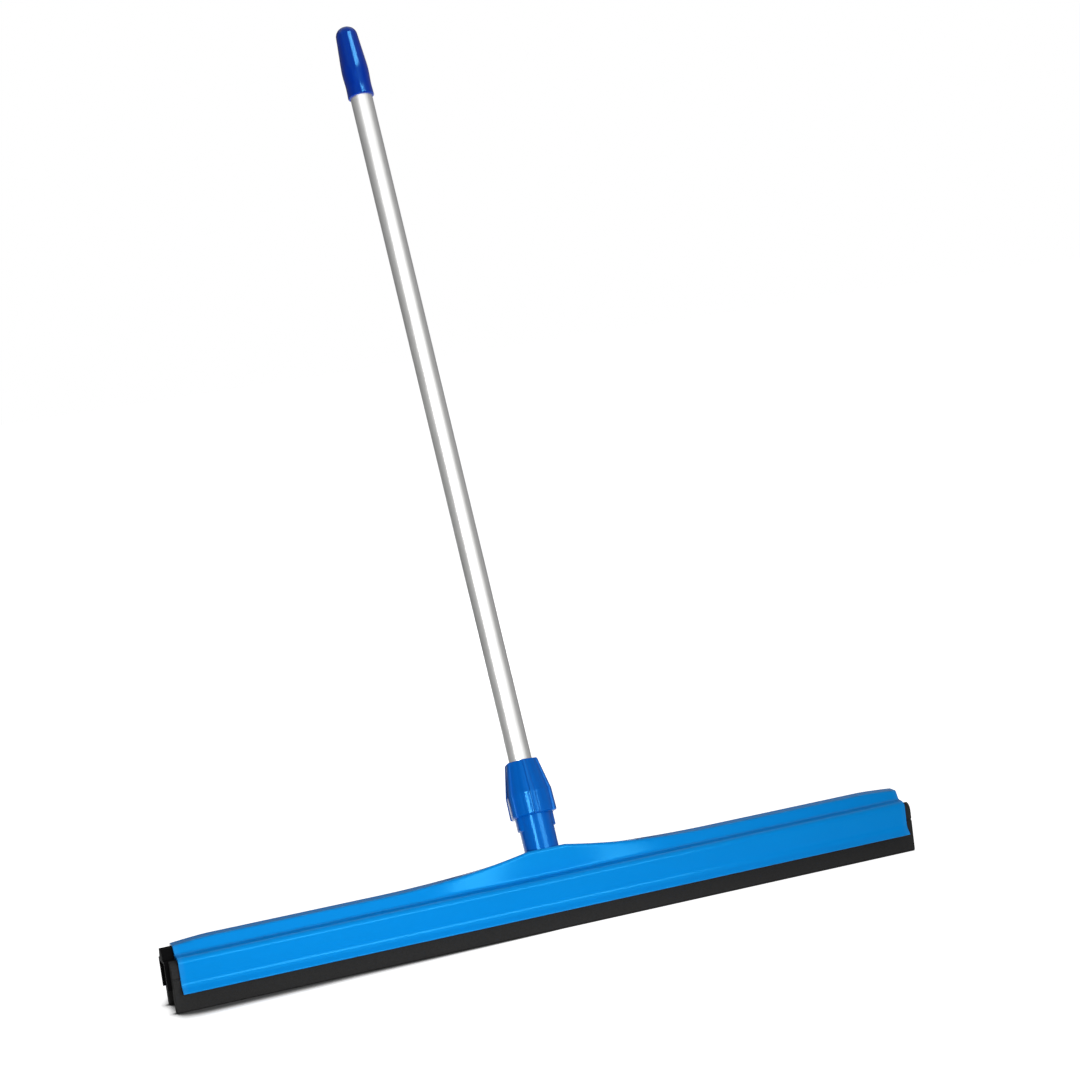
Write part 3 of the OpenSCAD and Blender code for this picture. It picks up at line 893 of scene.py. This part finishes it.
# %% Neck
NUT_FROM, NUT_TO, _ = along_axis("lock_nut")
TUBE_FROM, TUBE_TO, TUBE_R = along_axis("handle_tube")
BORE_GAP = 0.25
BORE_R = TUBE_R + BORE_GAP
SOCKET_FLOOR = NECK_FROM + 8
COLLAR_FROM, COLLAR_TO = NUT_FROM - 13, NUT_FROM + 1
THREAD_D = 1.0
CORE_R = THREAD_R - THREAD_D
SEAT_LEN, SEAT_THIN_R, SEAT_THICK_R = 7, 12.8, 15.8
LUG_FROM, LUG_FULL = math.radians(32), math.radians(14)

neck_profile = rounded([
    (0, NECK_FROM, 0),
    (NECK_R, NECK_FROM, 0.4),
    (NECK_R, COLLAR_FROM, 0.8),
    (THREAD_R, COLLAR_FROM, 1.3),
    (THREAD_R, COLLAR_TO, 0.4),
    (CORE_R, COLLAR_TO + THREAD_D, 0.3),
    (CORE_R, NECK_TO, 0.8),
    (SEAT_THICK_R, NECK_TO, 0.3),
    (SEAT_THIN_R, NECK_TO - SEAT_LEN, 0.3),
    (BORE_R, NECK_TO - SEAT_LEN, 0.3),
    (BORE_R, SOCKET_FLOOR, 0.8),
    (0, SOCKET_FLOOR, 0),
], steps=6)


def smooth(t):
    return t * t * (3 - 2 * t)


def collar_lugs(angle, radius, station):
    """Keeps the collar at the two sides and brings it down to the neck in front and behind."""
    if radius <= NECK_R or station > COLLAR_TO:
        return np.full(len(angle), radius)
    from_side = np.arccos(np.abs(np.cos(angle)))
    share = np.clip((LUG_FROM - from_side) / (LUG_FROM - LUG_FULL), 0, 1)
    return mix(NECK_R, radius, smooth(share))


neck = new_object("neck_moulding", *turned(neck_profile, shape=collar_lugs), neck_plastic)
finish_piece(neck, "head", "neck_blue", "neck_socket")


# %% Geometry Nodes on the neck's axis
def node_group(name, inputs):
    """An empty Geometry Nodes tree with named inputs, as a graph and its wires by name."""
    tree = bpy.data.node_groups.new(name, "GeometryNodeTree")
    tree.interface.new_socket("Geometry", in_out="OUTPUT", socket_type="NodeSocketGeometry")
    for label, kind in inputs.items():
        tree.interface.new_socket(label, in_out="INPUT", socket_type="NodeSocket" + kind)
    graph = Graph(tree)
    start = tree.nodes.new("NodeGroupInput")
    return graph, {label: Wire(graph, start.outputs[label]) for label in inputs}


def close_group(graph, geometry, inputs):
    """Leans the geometry onto the neck's axis, makes it real and gives it its material."""
    leaned = graph.node("GeometryNodeTransform", None,
                        {"Geometry": geometry, "Rotation": (-LEAN, 0, 0),
                         "Translation": tuple(AXIS_FOOT * MM)})
    real = graph.node("GeometryNodeRealizeInstances", None, {"Geometry": leaned})
    painted = graph.node("GeometryNodeSetMaterial", None,
                         {"Geometry": real, "Material": inputs["Plastic"]})
    end = graph.tree.nodes.new("NodeGroupOutput")
    graph.join(painted, end.inputs["Geometry"])


def grown(name, graph, values):
    """A plain mesh object from a Geometry Nodes tree with these values on its inputs."""
    obj = bpy.data.objects.new(name, bpy.data.meshes.new(name))
    bpy.context.scene.collection.objects.link(obj)
    modifier = obj.modifiers.new(name, "NODES")
    modifier.node_group = graph.tree
    for item in graph.tree.interface.items_tree:
        if item.in_out == "INPUT":
            modifier[item.identifier] = values[item.name]
    evaluated = obj.evaluated_get(bpy.context.evaluated_depsgraph_get())
    plain = bpy.data.meshes.new_from_object(evaluated)
    obj.modifiers.clear()
    obj.data = plain
    return obj


# %% Thread on the neck
THREAD_PITCH = 4.0
THREAD_MARGIN = 2.2
THREAD_STEPS = 64
CUTTER_SHARE = 0.95
DIAMOND = 4

thread_graph, thread_in = node_group("thread_on_the_neck", {
    "Turns": "Float", "Radius": "Float", "Rise": "Float", "Start": "Float", "Depth": "Float",
    "Plastic": "Material"})
spiral = thread_graph.node("GeometryNodeCurveSpiral", None, {
    "Resolution": THREAD_STEPS, "Rotations": thread_in["Turns"], "Height": thread_in["Rise"],
    "Start Radius": thread_in["Radius"], "End Radius": thread_in["Radius"]})
start = thread_graph.node("ShaderNodeCombineXYZ", None, {"Z": thread_in["Start"]})
raised = thread_graph.node("GeometryNodeTransform", None,
                           {"Geometry": spiral, "Translation": start})
upright = thread_graph.node("GeometryNodeSetCurveNormal", {"mode": "Z_UP"}, {"Curve": raised})
cutter = thread_graph.node("GeometryNodeCurvePrimitiveCircle", None,
                           {"Resolution": DIAMOND, "Radius": thread_in["Depth"]})
swept = thread_graph.node("GeometryNodeCurveToMesh", None,
                          {"Curve": upright, "Profile Curve": cutter, "Fill Caps": True})
close_group(thread_graph, swept, thread_in)

thread_from = COLLAR_TO + THREAD_MARGIN
thread_rise = NECK_TO - THREAD_MARGIN - thread_from
thread_turns = thread_rise / THREAD_PITCH
thread = grown("neck_thread", thread_graph, {
    "Turns": thread_turns, "Radius": CORE_R * MM, "Rise": thread_rise * MM,
    "Start": thread_from * MM, "Depth": CUTTER_SHARE * THREAD_D * MM, "Plastic": neck_plastic})
finish_piece(thread, "head", "neck_blue")
print("thread of", round(thread_turns, 1), "turns")

# %% [markdown]
# ## Lock nut
# The nut is a cone in two slopes, with six ribs for the fingers and slightly hollow faces between
# them. The body is turned with a shape function that draws the faces in. The ribs repeat, so one
# rib is modelled once and Geometry Nodes place the six copies round the axis.

# %% Nut body
NUT_FOOT_R, NUT_WAIST_R, NUT_TOP_R = 22.8, 22.6, 16.3
NUT_WAIST = NUT_FROM + 22
NUT_EDGE = 1.2
NUT_BORE_R = THREAD_R + 0.3
NUT_HOLE_R = 12.8
CONE_FROM, CONE_LEN = NECK_TO + 4, 19
BORE_MARGIN = 0.5
BORE_TOP = CONE_FROM + 1
LONG_RUN, RUN_STEPS = 10, 8
NUT_SEGMENTS = 192
RIB_COUNT = 6
RIB_TURN = math.radians(24)
RIB_FLAT, RIB_FADE = 0.10, 0.14
RIB_STEP, FACE_DIP, DIP_BEND = 0.8, 0.7, 1.5

nut_outside = rounded([
    (NUT_BORE_R, NUT_FROM, 0),
    (NUT_FOOT_R - NUT_EDGE, NUT_FROM, 0.3),
    (NUT_FOOT_R, NUT_FROM + NUT_EDGE, 0.3),
    (NUT_WAIST_R, NUT_WAIST, 3),
    (NUT_TOP_R, NUT_TO, 1.4),
    (NUT_HOLE_R, NUT_TO, 0),
], steps=7)
nut_path = []
for a, b in zip(nut_outside[:-1], nut_outside[1:]):
    steps = RUN_STEPS if np.linalg.norm(b - a) > LONG_RUN else 1
    nut_path.extend(mix(a, b, k / steps) for k in range(steps))
nut_inside = [(NUT_HOLE_R, CONE_FROM + CONE_LEN), (SEAT_THICK_R, CONE_FROM),
              (NUT_BORE_R, CONE_FROM)]
nut_profile = np.vstack([nut_path, nut_outside[-1:], nut_inside])


def nut_face(angle, radius, station):
    """Draws the six faces in between the ribs, on the nut's flank only."""
    in_bore = station < BORE_TOP and radius < NUT_BORE_R + BORE_MARGIN
    if in_bore or radius < NUT_HOLE_R + BORE_MARGIN:
        return np.full(len(angle), radius)
    half = math.pi / RIB_COUNT
    share = np.abs((angle - RIB_TURN + half) % (2 * half) - half) / half
    step = np.clip((share - RIB_FLAT) / RIB_FADE, 0, 1)
    return radius - RIB_STEP * smooth(step) - FACE_DIP * share ** DIP_BEND


nut = new_object("nut_moulding", *turned(nut_profile, NUT_SEGMENTS, nut_face), neck_plastic)
finish_piece(nut, "nut", "neck_blue", "lock_nut")

# %% [markdown]
# A rib is a skin too, through rings that follow the nut's flank. Each ring has two sides that
# mirror each other: a root sunk into the nut, a foot, and a crest with a small round.

# %% One rib
RIB_FOOT_W, RIB_TOP_W = 5.2, 2.6
RIB_H, RIB_TOP_H = 0.9, 0.5
RIB_FOOT_GAP, RIB_TOP_GAP = 0.1, 0.2
CREST_MOST = 0.45
RIB_SIDE = ((2.2, 0.15, 0), (0.35, 0, 0), (0.1, 0, 0.6), (0, 0, 1.6))

rib_line = rounded([
    (NUT_FOOT_R + RIB_H - NUT_EDGE, NUT_FROM + RIB_FOOT_GAP, 0),
    (NUT_FOOT_R + RIB_H, NUT_FROM + NUT_EDGE, 0.4),
    (NUT_WAIST_R + RIB_H, NUT_WAIST, 3),
    (NUT_TOP_R + RIB_TOP_H, NUT_TO - RIB_TOP_GAP, 1.2),
    (NUT_TOP_R - NUT_EDGE, NUT_TO - RIB_TOP_GAP, 0),
], steps=7)
rib_rings = []
for radius, station in rib_line:
    rise = (station - NUT_FROM) / (NUT_TO - NUT_FROM)
    half_w = mix(RIB_FOOT_W, RIB_TOP_W, rise) / 2
    crest = min(CREST_MOST, half_w / 3)
    side = [(radius - sunk, half_w + out - share * crest) for sunk, out, share in RIB_SIDE]
    rib_rings.append([(r, -w, station) for r, w in side] + [(r, w, station) for r, w in side[::-1]])
rib = new_object("rib", *skin(rib_rings), neck_plastic)
print("rib of", len(rib_rings), "rings")

# %% Six ribs
rib_graph, rib_in = node_group("ribs_round_the_nut", {
    "Rib": "Object", "Count": "Int", "First angle": "Float", "Plastic": "Material"})
ring_points = rib_graph.node("GeometryNodePoints", None, {"Count": rib_in["Count"]})
number = rib_graph.node("GeometryNodeInputIndex")
rib_angle = number * (2 * math.pi) / rib_in["Count"] + rib_in["First angle"]
rib_turn = rib_graph.node("FunctionNodeAxisAngleToRotation", None,
                          {"Axis": (0, 0, 1), "Angle": rib_angle})
rib_shape = rib_graph.node("GeometryNodeObjectInfo", None, {"Object": rib_in["Rib"]}, "Geometry")
copies = rib_graph.node("GeometryNodeInstanceOnPoints", None,
                        {"Points": ring_points, "Instance": rib_shape, "Rotation": rib_turn})
close_group(rib_graph, copies, rib_in)

ribs = grown("nut_ribs", rib_graph, {
    "Rib": rib, "Count": RIB_COUNT, "First angle": RIB_TURN, "Plastic": neck_plastic})
bpy.data.objects.remove(rib)
finish_piece(ribs, "nut", "neck_blue")

# %% [markdown]
# ## Handle
# The tube is plain drawn aluminium. The grip is a thin moulding with a slight waist, a slight
# swell and a domed top, pushed over the end of the tube. Both are turned with many segments, since
# a long straight highlight shows every facet.

# %% Tube
TUBE_WALL = 1.2
TUBE_EDGE = 0.25

tube_profile = rounded([
    (TUBE_R - TUBE_WALL, TUBE_FROM, TUBE_EDGE),
    (TUBE_R, TUBE_FROM, TUBE_EDGE),
    (TUBE_R, TUBE_TO, TUBE_EDGE),
    (TUBE_R - TUBE_WALL, TUBE_TO, TUBE_EDGE),
], steps=3, closed=True)
tube = new_object("tube_drawn", *turned(tube_profile), drawn_aluminium)
finish_piece(tube, "handle", "aluminium", "handle_tube")

# %% Grip
GRIP_FROM, GRIP_TO, _ = along_axis("hand_grip")
GRIP_FOOT_R, GRIP_WAIST_R, GRIP_SWELL_R, GRIP_TOP_R = 13.5, 13.0, 13.9, 10.4
GRIP_WAIST, GRIP_SWELL, GRIP_BLEND, DOME_ROUND = 12, 29, 100, 10
GRIP_GAP = 0.05
GRIP_HOLE_R = TUBE_R + GRIP_GAP

grip_profile = rounded([
    (0, TUBE_TO, 0),
    (GRIP_HOLE_R, TUBE_TO, 0.3),
    (GRIP_HOLE_R, GRIP_FROM, 0.4),
    (GRIP_FOOT_R, GRIP_FROM, 1.2),
    (GRIP_WAIST_R, GRIP_FROM + GRIP_WAIST, GRIP_BLEND),
    (GRIP_SWELL_R, GRIP_FROM + GRIP_SWELL, GRIP_BLEND),
    (GRIP_TOP_R, GRIP_TO, DOME_ROUND),
    (0, GRIP_TO, 0),
], steps=14)
grip = new_object("grip_moulding", *turned(grip_profile), grip_plastic)
finish_piece(grip, "handle", "grip_blue", "hand_grip")

# %% [markdown]
# ## Inner pieces
# The clamp sleeve, the tube's plug and the neck's screw are plain turned parts, and their CAD
# solids already have the right shape. They only need their finishes.

# %% Finishes of the CAD nodes that stay
for node, material in (("clamp_sleeve", core_plastic), ("tube_plug", core_plastic),
                       ("neck_screw", zinc_steel)):
    solid = frame["nodes"][node]
    solid.data.materials.clear()
    solid.data.materials.append(material)
    print(node, "keeps its CAD shape in", material.name)

# %% [markdown]
# ## Flags
# A photographer keeps a strip light off the rest of the set with a black flag. Light linking does
# the same: a lamp reaches only the objects of its receiver collection. So the strip for the neck
# leaves no second line on the head's lip, and the large one far above shows on the grip alone.


# %% Flags
def flag(lamp, *pieces):
    """Lets a lamp reach these pieces only."""
    reached = bpy.data.collections.new(lamp + "_reaches")
    for piece in pieces:
        reached.objects.link(piece)
    bpy.data.objects[lamp].light_linking.receiver_collection = reached
    print(lamp, "reaches", ", ".join(piece.name for piece in pieces))


flag("edge_strip", head)
flag("neck_strip", neck, thread, nut, ribs)
flag("left_strip", neck, thread, nut, ribs, tube)
flag("grip_strip", grip)
